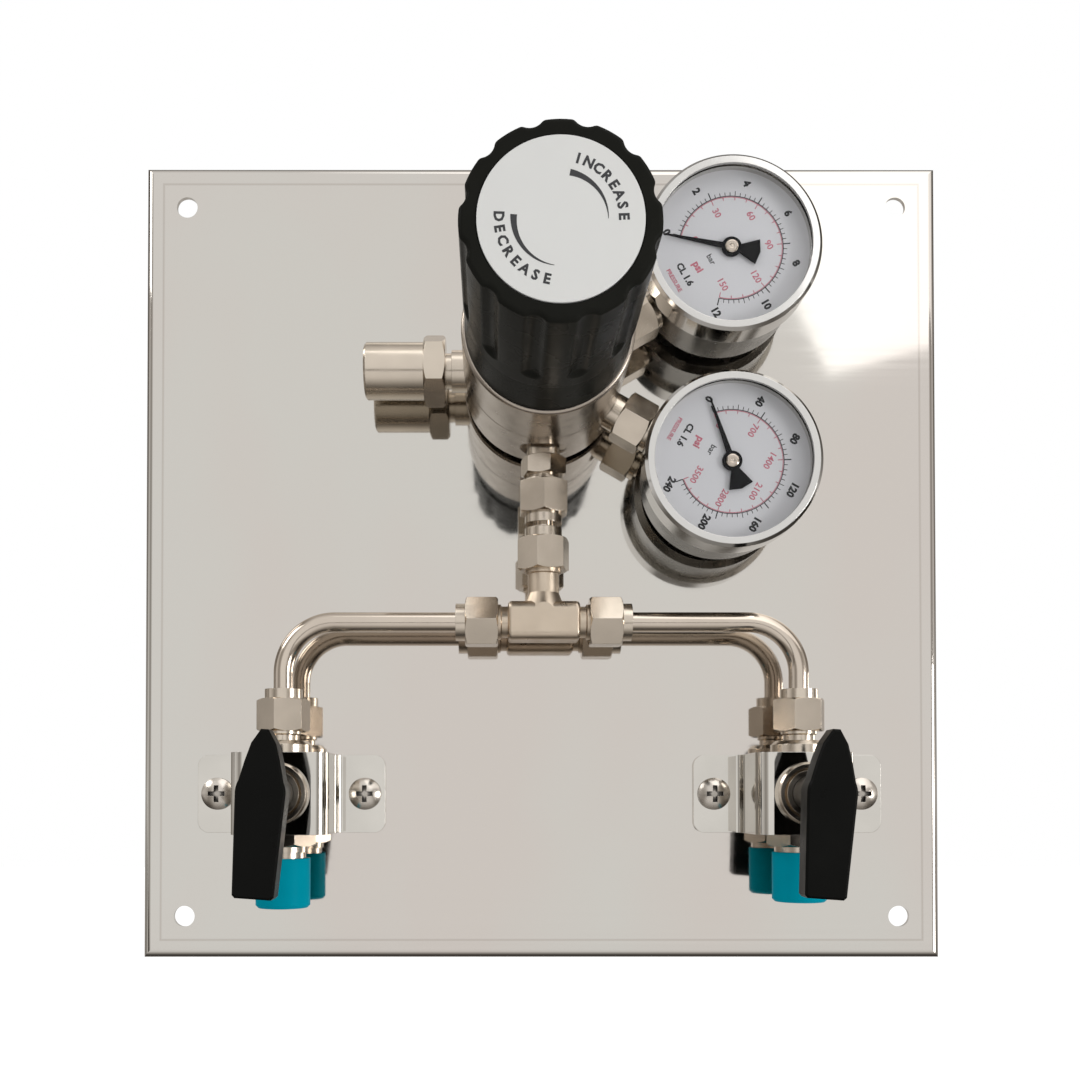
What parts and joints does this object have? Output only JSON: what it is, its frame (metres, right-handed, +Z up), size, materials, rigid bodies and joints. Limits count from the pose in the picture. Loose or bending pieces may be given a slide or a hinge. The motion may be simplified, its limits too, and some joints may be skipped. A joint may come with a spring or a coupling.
{
  "type": "laboratory gas manifold",
  "caption": "Wall panel with a pressure regulator, inlet and outlet gauges, a tee and ball valves on bent tubes.",
  "frame": {"origin": "centre of the four wall holes, on the front face of the panel", "axes": "+X to the right, +Z up, +Y back into the wall; the front faces -Y"},
  "size_m": [0.25, 0.1258, 0.25],
  "materials": {
    "polished_panel": "polished sheet",
    "polished_bracket": "polished",
    "regulator_metal": "polished nickel plate",
    "nickel_fitting": "bright machined",
    "tube_steel": "bright drawn",
    "screw_steel": "bright",
    "spring_steel": "drawn wire",
    "gauge_steel": "polished",
    "gauge_window": "clear",
    "dial_white": "matt white",
    "pointer_black": "matt black",
    "brass": "machined",
    "sintered_bronze": "sintered",
    "white_polymer": "satin",
    "black_plastic": "satin moulded",
    "label_white": "printed",
    "teal_plastic": "moulded"
  },
  "bodies": {
    "panel": {"back_plate": "polished_panel", "bracket_screws": "screw_steel", "bracket_nuts": "screw_steel", "regulator_screws": "screw_steel", "regulator_body": "regulator_metal", "bonnet": "regulator_metal", "diaphragm": "spring_steel", "range_spring": "spring_steel", "valve_seat": "white_polymer", "poppet_spring": "spring_steel", "inlet_adapter": "nickel_fitting", "inlet_filter": "sintered_bronze", "outlet_connector": "nickel_fitting", "outlet_nut": "nickel_fitting", "outlet_tube": "tube_steel", "union_tee": "nickel_fitting", "tee_top_nut": "nickel_fitting", "tee_left_nut": "nickel_fitting", "tee_right_nut": "nickel_fitting", "tube_ferrules": "nickel_fitting", "ball_seats": "white_polymer", "bourdon_tubes": "brass", "left_tube": "tube_steel", "left_inlet_nut": "nickel_fitting", "left_valve_body": "nickel_fitting", "left_outlet_end": "nickel_fitting", "left_dust_cap": "teal_plastic", "left_panel_nut": "nickel_fitting", "left_bracket": "polished_bracket", "right_tube": "tube_steel", "right_inlet_nut": "nickel_fitting", "right_valve_body": "nickel_fitting", "right_outlet_end": "nickel_fitting", "right_dust_cap": "teal_plastic", "right_panel_nut": "nickel_fitting", "right_bracket": "polished_bracket", "upper_gauge_case": "gauge_steel", "upper_gauge_bezel": "gauge_steel", "upper_gauge_window": "gauge_window", "upper_gauge_dial": "dial_white", "upper_gauge_stem": "nickel_fitting", "lower_gauge_case": "gauge_steel", "lower_gauge_bezel": "gauge_steel", "lower_gauge_window": "gauge_window", "lower_gauge_dial": "dial_white", "lower_gauge_stem": "nickel_fitting"},
    "knob": {"adjusting_knob": "black_plastic", "knob_disc": "label_white", "adjusting_screw": "brass"},
    "spring_button": {"spring_button": "brass"},
    "poppet": {"poppet": "spring_steel", "diaphragm_plate": "brass"},
    "left_handle": {"left_handle": "black_plastic", "left_stem": "screw_steel", "left_ball": "regulator_metal"},
    "right_handle": {"right_handle": "black_plastic", "right_stem": "screw_steel", "right_ball": "regulator_metal"},
    "upper_pointer": {"upper_gauge_pointer": "pointer_black"},
    "lower_pointer": {"lower_gauge_pointer": "pointer_black"}
  },
  "joints": [
    {"name": "knob_turn", "type": "hinge", "parent": "panel", "child": "knob", "pos_m": [0, -0.09, 0.054], "axis": [0, 1, 0], "range_deg": [0, 1800]},
    {"name": "spring_button_slide", "type": "slide", "parent": "panel", "child": "spring_button", "axis": [0, 1, 0], "range_m": [0, 0.0076], "deforming": ["range_spring"]},
    {"name": "poppet_slide", "type": "slide", "parent": "panel", "child": "poppet", "axis": [0, 1, 0], "range_m": [0, 0.0006], "stiffness_N_per_m": 400, "springref_m": -0.004, "deforming": ["poppet_spring", "diaphragm"]},
    {"name": "left_handle_turn", "type": "hinge", "parent": "panel", "child": "left_handle", "pos_m": [-0.0782, -0.04, -0.0736], "axis": [0, 1, 0], "range_deg": [0, 90]},
    {"name": "right_handle_turn", "type": "hinge", "parent": "panel", "child": "right_handle", "pos_m": [0.0768, -0.04, -0.0736], "axis": [0, 1, 0], "range_deg": [0, 90]},
    {"name": "upper_pointer_turn", "type": "hinge", "parent": "panel", "child": "upper_pointer", "pos_m": [0.05413, -0.03, 0.08525], "axis": [0, 1, 0], "range_deg": [0, 274], "stiffness_Nm_per_rad": 0.00001, "springref_deg": -28.65},
    {"name": "lower_pointer_turn", "type": "hinge", "parent": "panel", "child": "lower_pointer", "pos_m": [0.05413, -0.03, 0.02275], "axis": [0, 1, 0], "range_deg": [0, 274], "stiffness_Nm_per_rad": 0.00001, "springref_deg": -28.65}
  ],
  "couplings": [
    {"joint": "spring_button_slide", "follows": "knob_turn", "m_per_rad": 0.00023873}
  ]
}
